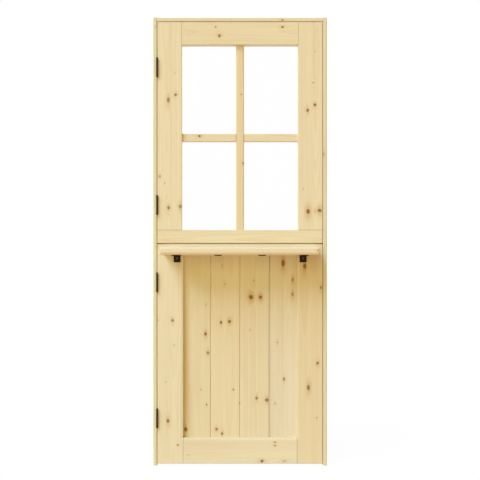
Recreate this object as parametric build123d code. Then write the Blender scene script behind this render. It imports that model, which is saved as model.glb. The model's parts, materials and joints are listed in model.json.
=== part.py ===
from build123d import *
import os

# Dutch stable door in its frame, in millimetres.
# +X runs to the latch side, +Y into the building, +Z up.
# The origin is the middle of the threshold's underside, on the floor.

# Frame
frame_width = 776
frame_height = 2000
jamb_width = 45
lip_width = 17
stop_depth = 45
threshold_height = 24
fixing_hole_radius = 4
fixing_outer_spacing = 1300
fixing_inner_spacing = 700

# Leaves and their running gaps
leaf_thickness = 44
lower_leaf_height = 980
side_gap = 2
head_gap = 2
sill_gap = 8
split_gap = 5
stop_clearance = 1
arris = 2.5

# Stiles, rails and their joints
window_stile_width = 109
panel_stile_width = 114.5
top_rail_height = 102
upper_meeting_rail_height = 59
lower_meeting_rail_height = 50
bottom_rail_height = 115.5
tenon_length = 32
tenon_thickness = 14
tenon_shoulder = 22
joint_clearance = 0.2
strip_thickness = 12
strip_setback = 10
strip_groove_depth = 8
strip_clearance = 1

# Glazing
glass_thickness = 4
glass_clearance = 2
glazing_rebate = 10
window_arris = 1.5
bar_width = 36
bar_thickness = 14
bar_recess = 12
bar_arris = 3
bar_tenon_length = 8
bar_tenon_thickness = 8
bar_tenon_shoulder = 6
bead_setback = 3
bead_arris = 4

# Boarded panel
board_count = 4
outer_board_trim = 8
board_thickness = 18
board_recess = 17
panel_bevel = 8.5
panel_bevel_depth = 2
board_groove_depth = 10
board_end_clearance = 2
board_gap = 0.5
board_bevel = 3
tongue_thickness = 6
tongue_length = 6

# Shelf and its brackets
shelf_length = 684
shelf_depth = 130
shelf_thickness = 35
shelf_drop = 9
shelf_nose_radius = 12
shelf_arris = 2
bracket_width = 30
bracket_thickness = 5
bracket_drop = 36
bracket_reach = 100
bracket_bend_radius = 1.5
bracket_inner_offset = 96
bracket_stile_inset = 26.5
bracket_hole_share = 0.6

# Butt hinges
hinge_length = 85
hinge_plate_depth = 30
hinge_plate_thickness = 2
knuckle_count = 3
knuckle_radius = 4
knuckle_gap = 0.3
barrel_standoff = 5.5
pin_radius = 2.2
pin_clearance = 0.05
pin_head_radius = 3.4
pin_head_height = 2.5
hinge_end_setback = 204
hinge_split_setback = 170
hinge_screw_depth_shares = (0.38, 0.72, 0.38)
hinge_screw_height_shares = (0.17, 0.5, 0.83)

# Bolts
rod_size = 10
rod_clearance = 0.3
rod_height = 12
rod_throw = 28
rod_overhang = 2
rod_nose = 1.5
keeper_clearance = 0.6
guide_length = 14
guide_wall = 2.5
knob_radius = 4.5
knob_height = 20
knob_margin = 1.5
bolt_plate_width = 40
bolt_plate_thickness = 2
bolt_end_setback = 6
bolt_screw_inset = 6
lower_bolt_setback = 158
coupling_bolt_setback = 70
keeper_setback = 6
strike_width = 20
strike_height = 46
strike_thickness = 2
strike_pocket_depth = 25
strike_screw_inset = 7

# Wood screws: the small ones fix the ironwork, the long ones the frame's corners
screw_head_radius = 3.4
screw_shank_radius = 1.7
screw_head_land = 0.3
screw_length = 15
corner_screw_head_radius = 5
corner_screw_shank_radius = 2.5
corner_screw_head_land = 0.5
corner_screw_length = 80
corner_screw_inset = 10
screw_clearance = 0.1
screw_sides = 6

overrun = 1

# Places worked out from the sizes above
half_frame = frame_width / 2
lip_x = half_frame - lip_width
stop_x = half_frame - jamb_width
stop_y = -stop_depth / 2
frame_back_y = stop_depth / 2
leaf_back_y = stop_y - stop_clearance
front_y = leaf_back_y - leaf_thickness
half_leaf = lip_x - side_gap
half_window = half_leaf - window_stile_width
half_panel = half_leaf - panel_stile_width
head_lip_z = frame_height - lip_width
head_stop_z = frame_height - jamb_width
lower_bottom_z = sill_gap
lower_top_z = lower_bottom_z + lower_leaf_height
upper_bottom_z = lower_top_z + split_gap
upper_top_z = head_lip_z - head_gap
window_bottom_z = upper_bottom_z + upper_meeting_rail_height
window_top_z = upper_top_z - top_rail_height
window_middle_z = (window_bottom_z + window_top_z) / 2
panel_bottom_z = lower_bottom_z + bottom_rail_height
panel_top_z = lower_top_z - lower_meeting_rail_height
tenon_y = (front_y + leaf_back_y - tenon_thickness) / 2
bar_front_y = front_y + bar_recess
glass_front_y = bar_front_y + bar_thickness
glass_back_y = glass_front_y + glass_thickness
bar_tenon_y = bar_front_y + (bar_thickness - bar_tenon_thickness) / 2
board_front_y = front_y + board_recess
board_back_y = board_front_y + board_thickness
shelf_top_z = lower_top_z - shelf_drop
shelf_bottom_z = shelf_top_z - shelf_thickness
bracket_outer_offset = half_panel + bracket_stile_inset
hinge_x = -(lip_x + half_leaf) / 2
hinge_y = front_y - barrel_standoff
hinge_heights = {
    "upper_top_hinge": upper_top_z - hinge_end_setback,
    "upper_bottom_hinge": upper_bottom_z + hinge_split_setback,
    "lower_top_hinge": lower_top_z - hinge_split_setback,
    "lower_bottom_hinge": lower_bottom_z + hinge_end_setback,
}
knob_room = rod_throw + 2 * (knob_radius + knob_margin)
bolt_plate_length = knob_room + 2 * guide_length
lower_bolt_z = lower_top_z - lower_bolt_setback
coupling_bolt_x = half_leaf - coupling_bolt_setback
bolt_axis_y = leaf_back_y + rod_height
half_rod = rod_size / 2

nodes = {}


def block(low, high):
    size = [b - a for a, b in zip(low, high)]
    return Pos(*low) * Box(*size, align=(Align.MIN,) * 3)


def grown(low, high, clearance):
    return block([a - clearance for a in low], [b + clearance for b in high])


def mirrored(solid):
    return solid.mirror(Plane.YZ)


# Wood screws with few sides, head uppermost at the local origin, and the holes that take them

def screw(head_radius, shank_radius, head_land, length, clearance=0):
    slope_height = head_radius - shank_radius
    rim = RegularPolygon(head_radius + clearance, screw_sides, major_radius=False)
    core = RegularPolygon(shank_radius + clearance, screw_sides, major_radius=False)
    head = extrude(rim, head_land + slope_height, dir=(0, 0, -1))
    head = chamfer(head.faces().sort_by(Axis.Z)[0].edges(), slope_height)
    return head + extrude(core, length + clearance, dir=(0, 0, -1))


small_screw = screw(screw_head_radius, screw_shank_radius, screw_head_land, screw_length)
small_hole = screw(screw_head_radius, screw_shank_radius, screw_head_land, screw_length, screw_clearance)
corner_sizes = (
    corner_screw_head_radius,
    corner_screw_shank_radius,
    corner_screw_head_land,
    corner_screw_length,
)
corner_screw = screw(*corner_sizes)
corner_hole = screw(*corner_sizes, screw_clearance)

# Turns that point a screw's head the named way
head_to_right = (0, 90, 0)
head_to_left = (0, -90, 0)
head_to_front = (90, 0, 0)
head_down = (180, 0, 0)


def drilled(solid, places, hole=small_hole):
    for place in places:
        solid = solid - place * hole
    return solid


def screw_group(places, fastener=small_screw):
    return Compound([(place * fastener).solid() for place in places])


# Butt hinges: a plate let into each edge, knuckles in front of the gap

hinge_screw_points = [
    (front_y + hinge_plate_depth * depth, hinge_length * height - hinge_length / 2)
    for depth, height in zip(hinge_screw_depth_shares, hinge_screw_height_shares)
]


def hinge_screws(z, side):
    x = hinge_x + side * side_gap / 2
    turn = head_to_left if side > 0 else head_to_right
    return [Location((x, y, z + dz), turn) for y, dz in hinge_screw_points]


def plate_corners(z, side):
    inner = hinge_x + side * side_gap / 2
    outer = inner + side * hinge_plate_thickness
    low = (min(inner, outer), front_y, z - hinge_length / 2)
    high = (max(inner, outer), front_y + hinge_plate_depth, z + hinge_length / 2)
    return low, high


def hinge_leaf(z, side, knuckles):
    low, high = plate_corners(z, side)
    leaf = block(low, high)
    pitch = hinge_length / knuckle_count
    for number in knuckles:
        start = low[2] + number * pitch + knuckle_gap / 2
        end = start + pitch - knuckle_gap
        neck = block((low[0], hinge_y, start), (high[0], front_y, end))
        barrel = Pos(hinge_x, hinge_y, (start + end) / 2) * Cylinder(knuckle_radius, end - start)
        leaf = leaf + barrel + neck
    bore = Pos(hinge_x, hinge_y, z) * Cylinder(pin_radius + pin_clearance, hinge_length + 2 * overrun)
    return drilled(leaf - bore, hinge_screws(z, side))


def hinge_pin(z):
    stem_length = hinge_length + knuckle_gap
    pin = Cylinder(pin_radius, stem_length)
    head = Pos(0, 0, (stem_length + pin_head_height) / 2) * Cylinder(pin_head_radius, pin_head_height)
    return Pos(hinge_x, hinge_y, z) * (pin + head)


def hinge_mortise(z, side):
    low, high = plate_corners(z, side)
    low = (low[0] - joint_clearance, low[1] - overrun, low[2] - joint_clearance)
    high = (high[0] + joint_clearance, high[1] + joint_clearance, high[2] + joint_clearance)
    return block(low, high)


outer_knuckles = range(0, knuckle_count, 2)
inner_knuckles = range(1, knuckle_count, 2)
for name, z in hinge_heights.items():
    nodes[f"{name}_frame_leaf"] = hinge_leaf(z, -1, outer_knuckles)
    nodes[f"{name}_door_leaf"] = hinge_leaf(z, 1, inner_knuckles)
    nodes[f"{name}_pin"] = hinge_pin(z)


# Frame: rebated jambs to the floor, head and threshold between them
corner_places = []
for z in (threshold_height / 2, frame_height - jamb_width / 2):
    for y in (stop_y + corner_screw_inset, frame_back_y - corner_screw_inset):
        corner_places.append(Location((half_frame, y, z), head_to_right))
        corner_places.append(Location((-half_frame, y, z), head_to_left))

def rebated_profile():
    corners = [
        (half_frame, front_y),
        (half_frame, frame_back_y),
        (stop_x, frame_back_y),
        (stop_x, stop_y),
        (lip_x, stop_y),
        (lip_x, front_y),
    ]
    section = make_face(Polyline(*corners, close=True))
    inner = Vector(lip_x, stop_y)
    edges = [v for v in section.vertices() if (Vector(v.X, v.Y) - inner).length > arris]
    return chamfer(edges, arris)


def jamb():
    post = extrude(rebated_profile(), frame_height)
    hole_y = (front_y + stop_y) / 2
    bore = Cylinder(fixing_hole_radius, 2 * (lip_width + overrun))
    for spacing in (fixing_outer_spacing, fixing_inner_spacing):
        for side in (-1, 1):
            place = Location((half_frame, hole_y, (frame_height + side * spacing) / 2), head_to_right)
            post = post - place * bore
    return drilled(post, [p for p in corner_places if p.position.X > 0], corner_hole)


def frame_head():
    lip = block((-lip_x, front_y, head_lip_z), (lip_x, stop_y, frame_height))
    stop = block((-stop_x, stop_y, head_stop_z), (stop_x, frame_back_y, frame_height))
    head = lip + stop
    along = head.edges().filter_by(Axis.X)
    inner = Vector(0, stop_y, head_lip_z)
    edges = [e for e in along if (Vector(0, e.center().Y, e.center().Z) - inner).length > arris]
    edges = [e for e in edges if e.length > 2 * half_window]
    return drilled(chamfer(edges, arris), corner_places, corner_hole)


def threshold():
    sill = block((-stop_x, stop_y, 0), (stop_x, frame_back_y, threshold_height))
    edges = sill.faces().sort_by(Axis.Z)[-1].edges().filter_by(Axis.X)
    return drilled(chamfer(edges, arris), corner_places, corner_hole)


strike_low = (stop_x, bolt_axis_y - strike_width / 2, lower_bolt_z - strike_height / 2)
strike_high = (stop_x + strike_thickness, bolt_axis_y + strike_width / 2, lower_bolt_z + strike_height / 2)
strike_screw_offset = strike_height / 2 - strike_screw_inset
strike_places = [
    Location((stop_x, bolt_axis_y, lower_bolt_z + side * strike_screw_offset), head_to_left)
    for side in (-1, 1)
]
half_pocket = half_rod + keeper_clearance
strike_pocket = block(
    (stop_x - overrun, bolt_axis_y - half_pocket, lower_bolt_z - half_pocket),
    (stop_x + strike_pocket_depth, bolt_axis_y + half_pocket, lower_bolt_z + half_pocket),
)

hinge_jamb = mirrored(jamb())
frame_hinge_screws = []
for z in hinge_heights.values():
    frame_hinge_screws += hinge_screws(z, -1)
    hinge_jamb = hinge_jamb - hinge_mortise(z, -1)
nodes["hinge_jamb"] = drilled(hinge_jamb, frame_hinge_screws)
latch_jamb = jamb() - grown(strike_low, strike_high, joint_clearance) - strike_pocket
nodes["latch_jamb"] = drilled(latch_jamb, strike_places)
nodes["frame_head"] = frame_head()
nodes["threshold"] = threshold()
nodes["lower_bolt_strike"] = drilled(block(strike_low, strike_high) - strike_pocket, strike_places)
nodes["frame_corner_screws"] = screw_group(corner_places, corner_screw)
nodes["frame_hardware_screws"] = screw_group(frame_hinge_screws + strike_places)


# Slide bolts of square bar, made flat: the rod slides along +X above a plate that faces +Z

def bolt_guide(clearance):
    reach = half_rod + guide_wall
    strap = block((-guide_length / 2, -reach, 0), (guide_length / 2, reach, rod_height + reach))
    low = (-guide_length, -half_rod, rod_height - half_rod)
    high = (guide_length, half_rod, rod_height + half_rod)
    return strap - grown(low, high, clearance)


def plate_screws(length):
    y = bolt_plate_width / 2 - bolt_screw_inset
    x = length / 2 - bolt_screw_inset
    xs = (-x, x) if length > bolt_plate_width else (0,)
    return [Location((a, side * y, bolt_plate_thickness)) for a in xs for side in (-1, 1)]


def bolt_plate(length):
    half_length, half_width = length / 2, bolt_plate_width / 2
    plate = block((-half_length, -half_width, 0), (half_length, half_width, bolt_plate_thickness))
    return drilled(plate, plate_screws(length))


def bolt_base():
    base = bolt_plate(bolt_plate_length)
    for side in (-1, 1):
        base = base + Pos(side * (bolt_plate_length - guide_length) / 2, 0, 0) * bolt_guide(rod_clearance)
    return base


def bolt_keeper():
    return bolt_plate(guide_length) + bolt_guide(keeper_clearance)


def bolt_rod():
    reach = bolt_plate_length / 2 + rod_overhang
    rod = block((-reach, -half_rod, -half_rod), (reach, half_rod, half_rod))
    rod = chamfer(rod.faces().sort_by(Axis.X)[-1].edges(), rod_nose)
    knob_x = guide_length + knob_margin + knob_radius - bolt_plate_length / 2
    knob = Cylinder(knob_radius, knob_height, align=(Align.CENTER, Align.CENTER, Align.MIN))
    return Pos(0, 0, rod_height) * (rod + Pos(knob_x, 0, 0) * knob)


lower_bolt_x = stop_x - bolt_end_setback - bolt_plate_length / 2
coupling_bolt_z = upper_bottom_z + bolt_end_setback + bolt_plate_length / 2
keeper_z = lower_top_z - keeper_setback - guide_length / 2
to_latch, down, inwards = (1, 0, 0), (0, 0, -1), (0, 1, 0)
lower_bolt_plane = Plane((lower_bolt_x, leaf_back_y, lower_bolt_z), to_latch, inwards)
coupling_bolt_plane = Plane((coupling_bolt_x, leaf_back_y, coupling_bolt_z), down, inwards)
keeper_plane = Plane((coupling_bolt_x, leaf_back_y, keeper_z), down, inwards)
lower_bolt_screws = [lower_bolt_plane.location * p for p in plate_screws(bolt_plate_length)]
coupling_bolt_screws = [coupling_bolt_plane.location * p for p in plate_screws(bolt_plate_length)]
keeper_screws = [keeper_plane.location * p for p in plate_screws(guide_length)]
nodes["lower_bolt_base"] = lower_bolt_plane.location * bolt_base()
nodes["lower_bolt_rod"] = lower_bolt_plane.location * bolt_rod()
nodes["coupling_bolt_base"] = coupling_bolt_plane.location * bolt_base()
nodes["coupling_bolt_rod"] = coupling_bolt_plane.location * bolt_rod()
nodes["coupling_bolt_keeper"] = keeper_plane.location * bolt_keeper()


# Leaf members: the opening is bevelled in front after the joints are made

def leaf_envelope(bottom_z, top_z):
    body = block((-half_leaf, front_y, bottom_z), (half_leaf, leaf_back_y, top_z))
    faces = body.faces().sort_by(Axis.Y)
    return chamfer(faces[0].edges() + faces[-1].edges(), arris)


def opening_bevel(half_width, bottom_z, top_z, bevel, depth):
    low = (-half_width - bevel, front_y - overrun, bottom_z - bevel)
    high = (half_width + bevel, front_y + depth, top_z + bevel)
    cutter = block(low, high)
    inner_face = cutter.faces().sort_by(Axis.Y)[-1]
    return chamfer(inner_face.edges(), bevel, depth, reference=inner_face)


def rail_tenon(half_width, bottom_z, top_z):
    low = (half_width, tenon_y, bottom_z + tenon_shoulder)
    high = (half_width + tenon_length, tenon_y + tenon_thickness, top_z - tenon_shoulder)
    return low, high


def stile_tenon(half_width, joint_z, way):
    far_z = joint_z + way * tenon_length
    low = (half_width + tenon_shoulder, tenon_y, min(joint_z, far_z))
    high = (half_leaf - tenon_shoulder, tenon_y + tenon_thickness, max(joint_z, far_z))
    return low, high


def both_sides(solid):
    return [solid, mirrored(solid)]


def leaf_members(leaf_span, opening_span, half_width, bevel, bevel_depth, meets_below):
    bottom_z, top_z = leaf_span
    opening_bottom_z, opening_top_z = opening_span
    if meets_below:
        stile_span = (opening_bottom_z, top_z)
        rail_span = (opening_top_z, top_z)
        meeting_span = (bottom_z, opening_bottom_z)
        end_tenon = stile_tenon(half_width, opening_bottom_z, -1)
    else:
        stile_span = (bottom_z, opening_top_z)
        rail_span = (bottom_z, opening_bottom_z)
        meeting_span = (opening_top_z, top_z)
        end_tenon = stile_tenon(half_width, opening_top_z, 1)
    side_tenon = rail_tenon(half_width, *rail_span)
    stile = block((half_width, front_y, stile_span[0]), (half_leaf, leaf_back_y, stile_span[1]))
    stile = stile + block(*end_tenon) - grown(*side_tenon, joint_clearance)
    rail = block((-half_width, front_y, rail_span[0]), (half_width, leaf_back_y, rail_span[1]))
    rail = rail + both_sides(block(*side_tenon))
    meeting = block((-half_leaf, front_y, meeting_span[0]), (half_leaf, leaf_back_y, meeting_span[1]))
    meeting = meeting - both_sides(grown(*end_tenon, joint_clearance))
    cutter = opening_bevel(half_width, *opening_span, bevel, bevel_depth)
    envelope = leaf_envelope(*leaf_span)
    return [(piece - cutter) & envelope for piece in (mirrored(stile), stile, rail, meeting)]


def hung(stile, heights):
    for z in heights:
        stile = stile - hinge_mortise(z, 1)
        stile = drilled(stile, hinge_screws(z, 1))
    return stile


# Upper leaf: glazed, with its meeting rail at the bottom

def glazing_rebate_cutter():
    low = (-half_window - glazing_rebate, glass_front_y, window_bottom_z - glazing_rebate)
    high = (half_window + glazing_rebate, leaf_back_y + overrun, window_top_z + glazing_rebate)
    return block(low, high)


bar_tenon_end_y = bar_tenon_y + bar_tenon_thickness
half_bar = bar_width / 2
half_tenon = half_bar - bar_tenon_shoulder
vertical_tenon = (
    (-half_tenon, bar_tenon_y, window_bottom_z - bar_tenon_length),
    (half_tenon, bar_tenon_end_y, window_top_z + bar_tenon_length),
)
side_bar_tenon = (
    (half_window, bar_tenon_y, window_middle_z - half_tenon),
    (half_window + bar_tenon_length, bar_tenon_end_y, window_middle_z + half_tenon),
)


def vertical_bar():
    bar = block((-half_bar, bar_front_y, window_bottom_z), (half_bar, glass_front_y, window_top_z))
    front = bar.faces().sort_by(Axis.Y)[0]
    return chamfer(front.edges().filter_by(Axis.Z), bar_arris) + block(*vertical_tenon)


def side_bar():
    low = (half_bar, bar_front_y, window_middle_z - half_bar)
    high = (half_window, glass_front_y, window_middle_z + half_bar)
    bar = block(low, high)
    front = bar.faces().sort_by(Axis.Y)[0]
    return chamfer(front.edges().filter_by(Axis.X), bar_arris) + block(*side_bar_tenon)


def glass_pane():
    reach = glazing_rebate - glass_clearance
    low = (-half_window - reach, glass_front_y, window_bottom_z - reach)
    high = (half_window + reach, glass_back_y, window_top_z + reach)
    return block(low, high)


def level_bead(z, inner_z):
    reach = half_window + glazing_rebate
    bead = block((-reach, glass_back_y, min(z, inner_z)), (reach, leaf_back_y, max(z, inner_z)))
    edges = bead.edges().filter_by(Axis.X).filter_by_position(Axis.Y, leaf_back_y - arris, leaf_back_y)
    return chamfer(edges.sort_by_distance((0, leaf_back_y, inner_z))[0], bead_arris)


def upright_bead():
    bead = block(
        (half_window + bead_setback, glass_back_y, window_bottom_z - bead_setback),
        (half_window + glazing_rebate, leaf_back_y, window_top_z + bead_setback),
    )
    edges = bead.edges().filter_by(Axis.Z).sort_by(Axis.Y)[-2:]
    return chamfer(edges.sort_by(Axis.X)[0], bead_arris)


upper_span = (upper_bottom_z, upper_top_z)
window_span = (window_bottom_z, window_top_z)
members = leaf_members(upper_span, window_span, half_window, window_arris, window_arris, True)
members = [piece - glazing_rebate_cutter() for piece in members]
strip_low = (arris - half_leaf, front_y + strip_setback, lower_top_z + strip_clearance)
strip_high = (half_leaf - arris, strip_low[1] + strip_thickness, upper_bottom_z + strip_groove_depth)
hinge_stile, latch_stile, top_rail, meeting_rail = members
bar_mortise = grown(*side_bar_tenon, joint_clearance)
upright_mortise = grown(*vertical_tenon, joint_clearance)
upper_heights = [z for z in hinge_heights.values() if z > upper_bottom_z]
hinge_stile = hung(hinge_stile - mirrored(bar_mortise), upper_heights)
nodes["upper_hinge_stile"] = hinge_stile
nodes["upper_latch_stile"] = drilled(latch_stile - bar_mortise, coupling_bolt_screws)
nodes["upper_top_rail"] = top_rail - upright_mortise
meeting_rail = meeting_rail - upright_mortise - grown(strip_low, strip_high, joint_clearance)
nodes["upper_meeting_rail"] = drilled(meeting_rail, coupling_bolt_screws)
nodes["draught_strip"] = block(strip_low, strip_high)
nodes["vertical_glazing_bar"] = vertical_bar()
nodes["right_glazing_bar"] = side_bar()
nodes["left_glazing_bar"] = mirrored(side_bar())
nodes["glass_pane"] = glass_pane()
nodes["top_glazing_bead"] = level_bead(window_top_z + glazing_rebate, window_top_z + bead_setback)
nodes["bottom_glazing_bead"] = level_bead(window_bottom_z - glazing_rebate, window_bottom_z - bead_setback)
nodes["right_glazing_bead"] = upright_bead()
nodes["left_glazing_bead"] = mirrored(upright_bead())
upper_screws = list(coupling_bolt_screws)
for z in upper_heights:
    upper_screws += hinge_screws(z, 1)
nodes["upper_hardware_screws"] = screw_group(upper_screws)


# Lower leaf: boarded, with its meeting rail at the top behind the shelf

def panel_groove():
    low = (-half_panel - board_groove_depth, board_front_y, panel_bottom_z - board_groove_depth)
    high = (half_panel + board_groove_depth, board_back_y, panel_top_z + board_groove_depth)
    return grown(low, high, joint_clearance)


board_reach = half_panel + board_groove_depth - board_end_clearance
boards_start_x = -half_panel - outer_board_trim
board_cover = -2 * boards_start_x / board_count
tongue_front_y = board_front_y + (board_thickness - tongue_thickness) / 2
board_low_z = panel_bottom_z - board_groove_depth + board_end_clearance
board_high_z = panel_top_z + board_groove_depth - board_end_clearance


def panel_board(number):
    first = number == 0
    last = number == board_count - 1
    left = -board_reach if first else boards_start_x + number * board_cover + board_gap / 2
    right = board_reach if last else boards_start_x + (number + 1) * board_cover - board_gap / 2
    board = block((left, board_front_y, board_low_z), (right, board_back_y, board_high_z))
    uprights = board.edges().filter_by(Axis.Z)
    open_edges = [e for e in uprights if abs(e.center().X) < half_panel]
    board = chamfer(open_edges, board_bevel)
    tongue_low = (right, tongue_front_y, board_low_z)
    tongue_high = (right + tongue_length, tongue_front_y + tongue_thickness, board_high_z)
    slot_low = (left - overrun, tongue_front_y, board_low_z - overrun)
    slot_high = (left + tongue_length, tongue_front_y + tongue_thickness, board_high_z + overrun)
    if not last:
        board = board + block(tongue_low, tongue_high)
    if not first:
        board = board - grown(slot_low, slot_high, joint_clearance)
    return board


# Each bracket is bent flat bar: one leg under the shelf, the other down or up the leaf
bracket_places = {
    "outer_left_bracket": (-bracket_outer_offset, -1),
    "inner_left_bracket": (-bracket_inner_offset, 1),
    "inner_right_bracket": (bracket_inner_offset, 1),
    "outer_right_bracket": (bracket_outer_offset, -1),
}


def upright_leg_span(way):
    start = shelf_bottom_z if way < 0 else shelf_bottom_z - bracket_thickness
    return sorted((start, start + way * bracket_drop))


def bracket_screws(x, way):
    low, high = upright_leg_span(way)
    middle = (low + high) / 2
    places = [Location((x, front_y - bracket_thickness, middle), head_to_front)]
    y = front_y - bracket_reach * bracket_hole_share
    places.append(Location((x, y, shelf_bottom_z - bracket_thickness), head_down))
    return places


def bracket(x, way):
    left, right = x - bracket_width / 2, x + bracket_width / 2
    low, high = upright_leg_span(way)
    under_z = shelf_bottom_z - bracket_thickness
    flat = block((left, front_y - bracket_reach, under_z), (right, front_y, shelf_bottom_z))
    upright = block((left, front_y - bracket_thickness, low), (right, front_y, high))
    steel = flat + upright
    bend = (x, front_y - bracket_thickness / 2, shelf_bottom_z - bracket_thickness / 2)
    inside_and_outside = steel.edges().filter_by(Axis.X).sort_by_distance(bend)[:2]
    steel = fillet(inside_and_outside, bracket_bend_radius)
    return drilled(steel, bracket_screws(x, way))


def bracket_housing(x, way):
    left, right = x - bracket_width / 2, x + bracket_width / 2
    leg_y = front_y - bracket_thickness
    under_z = shelf_bottom_z - overrun
    leg_end = (right, front_y + overrun, upright_leg_span(way)[1])
    bend_end = (right, front_y + overrun, shelf_bottom_z + bracket_bend_radius)
    leg_room = grown((left, leg_y, under_z), leg_end, joint_clearance)
    bend_room = grown((left, leg_y - bracket_bend_radius, under_z), bend_end, joint_clearance)
    return leg_room + bend_room


def shelf():
    low = (-shelf_length / 2, front_y - shelf_depth, shelf_bottom_z)
    board = block(low, (shelf_length / 2, front_y, shelf_top_z))
    board = fillet(board.faces().sort_by(Axis.Y)[0].edges().filter_by(Axis.X), shelf_nose_radius)
    ends = board.faces().sort_by(Axis.X)
    board = chamfer(ends[0].edges() + ends[-1].edges(), shelf_arris)
    for x, way in bracket_places.values():
        board = drilled(board, bracket_screws(x, way))
        if way > 0:
            board = board - bracket_housing(x, way)
    return board


lower_span = (lower_bottom_z, lower_top_z)
panel_span = (panel_bottom_z, panel_top_z)
members = leaf_members(lower_span, panel_span, half_panel, panel_bevel, panel_bevel_depth, False)
members = [piece - panel_groove() for piece in members]
hinge_stile, latch_stile, bottom_rail, meeting_rail = members
lower_heights = [z for z in hinge_heights.values() if z < lower_top_z]
lower_screws = lower_bolt_screws + keeper_screws
for z in lower_heights:
    lower_screws += hinge_screws(z, 1)
all_bracket_screws = []
for name, (x, way) in bracket_places.items():
    nodes[name] = bracket(x, way)
    all_bracket_screws += bracket_screws(x, way)
nodes["lower_hinge_stile"] = drilled(hung(hinge_stile, lower_heights), all_bracket_screws)
nodes["lower_latch_stile"] = drilled(latch_stile, all_bracket_screws + lower_bolt_screws)
nodes["lower_meeting_rail"] = drilled(meeting_rail, all_bracket_screws + keeper_screws)
nodes["lower_bottom_rail"] = bottom_rail
for number in range(board_count):
    nodes[f"panel_board_{number + 1}"] = panel_board(number)
nodes["shelf"] = shelf()
nodes["shelf_bracket_screws"] = screw_group(all_bracket_screws)
nodes["lower_hardware_screws"] = screw_group(lower_screws)

os.makedirs("parts", exist_ok=True)
for name, piece in nodes.items():
    export_step(piece, f"parts/{name}.step")
print(len(nodes), "nodes")
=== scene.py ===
import json
import math

import bpy
import numpy as np
from mathutils import Euler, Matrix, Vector


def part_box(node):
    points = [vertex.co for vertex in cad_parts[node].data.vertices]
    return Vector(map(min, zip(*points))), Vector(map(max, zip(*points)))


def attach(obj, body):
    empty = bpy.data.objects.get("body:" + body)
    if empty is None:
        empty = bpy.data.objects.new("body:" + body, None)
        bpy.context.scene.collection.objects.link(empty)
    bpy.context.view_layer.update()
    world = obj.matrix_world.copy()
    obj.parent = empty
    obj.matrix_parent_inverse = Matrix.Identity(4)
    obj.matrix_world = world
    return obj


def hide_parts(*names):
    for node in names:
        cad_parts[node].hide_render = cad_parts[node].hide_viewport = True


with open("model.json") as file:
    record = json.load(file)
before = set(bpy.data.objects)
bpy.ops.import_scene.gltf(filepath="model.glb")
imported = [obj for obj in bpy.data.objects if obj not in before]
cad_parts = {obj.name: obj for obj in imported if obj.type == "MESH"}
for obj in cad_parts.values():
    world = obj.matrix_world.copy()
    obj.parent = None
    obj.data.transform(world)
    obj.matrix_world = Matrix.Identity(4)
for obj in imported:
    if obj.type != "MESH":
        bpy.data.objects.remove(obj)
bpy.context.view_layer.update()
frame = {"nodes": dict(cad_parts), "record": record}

nodes = frame["nodes"]
record = frame["record"]
bodyOf = {node: body for body, members in record["behaviour"]["bodies"].items() for node in members}
mm = 0.001

# How the photo was taken: metres for each pixel at the leaf's face, and where x = 0 and the floor fall
photo = {
    "size": 480,
    "scale": 4.464 * mm,
    "centreX": 240.05,
    "floorY": 465.67,
    "distance": 3.0,
    "sensor": 36.0,
    "lastJoint": (269.9, 350),
}
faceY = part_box("upper_hinge_stile")[0].y
eyeY = faceY - photo["distance"]
eyeZ = (photo["floorY"] - photo["size"] / 2) * photo["scale"]


def photoPoint(pixelX, pixelY, depthY):
    # The ray through a pixel meets the leaf's face, then is stretched from the eye to the plane at depthY
    reach = (depthY - eyeY) / photo["distance"]
    x = (pixelX - photo["centreX"]) * photo["scale"] * reach
    z = eyeZ + ((photo["floorY"] - pixelY) * photo["scale"] - eyeZ) * reach
    return Vector((x, depthY, z))


def srgb(red, green, blue):
    # Display colour out of 255 to the linear colour that Blender's sockets take
    level = np.array([red, green, blue]) / 255
    linear = np.where(level <= 0.04045, level / 12.92, ((level + 0.055) / 1.055) ** 2.4)
    return (*linear.tolist(), 1.0)


# Small helpers for node trees

def newGroup(name, inputs, outputs):
    tree = bpy.data.node_groups.new(name, "ShaderNodeTree")
    for label, kind, start in inputs:
        socket = tree.interface.new_socket(label, in_out="INPUT", socket_type="NodeSocket" + kind)
        socket.default_value = start
    for label, kind in outputs:
        tree.interface.new_socket(label, in_out="OUTPUT", socket_type="NodeSocket" + kind)
    return tree, tree.nodes.new("NodeGroupInput").outputs, tree.nodes.new("NodeGroupOutput").inputs


def put(tree, socket, value):
    if isinstance(value, bpy.types.NodeSocket):
        tree.links.new(value, socket)
    else:
        socket.default_value = value


def calc(tree, operation, *values, clamp=False):
    node = tree.nodes.new("ShaderNodeMath")
    node.operation = operation
    node.use_clamp = clamp
    for socket, value in zip(node.inputs, values):
        put(tree, socket, value)
    return node.outputs[0]


def vectorCalc(tree, operation, *values):
    node = tree.nodes.new("ShaderNodeVectorMath")
    node.operation = operation
    for socket, value in zip(node.inputs, values):
        put(tree, socket, value)
    return node.outputs["Value" if operation == "LENGTH" else "Vector"]


def scaled(tree, vector, factor):
    node = tree.nodes.new("ShaderNodeVectorMath")
    node.operation = "SCALE"
    put(tree, node.inputs["Vector"], vector)
    put(tree, node.inputs["Scale"], factor)
    return node.outputs["Vector"]


def smoothStep(tree, value, start, end, low=0.0, high=1.0):
    node = tree.nodes.new("ShaderNodeMapRange")
    node.interpolation_type = "SMOOTHSTEP"
    given = {"Value": value, "From Min": start, "From Max": end, "To Min": low, "To Max": high}
    for label, amount in given.items():
        put(tree, node.inputs[label], amount)
    return node.outputs["Result"]


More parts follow.
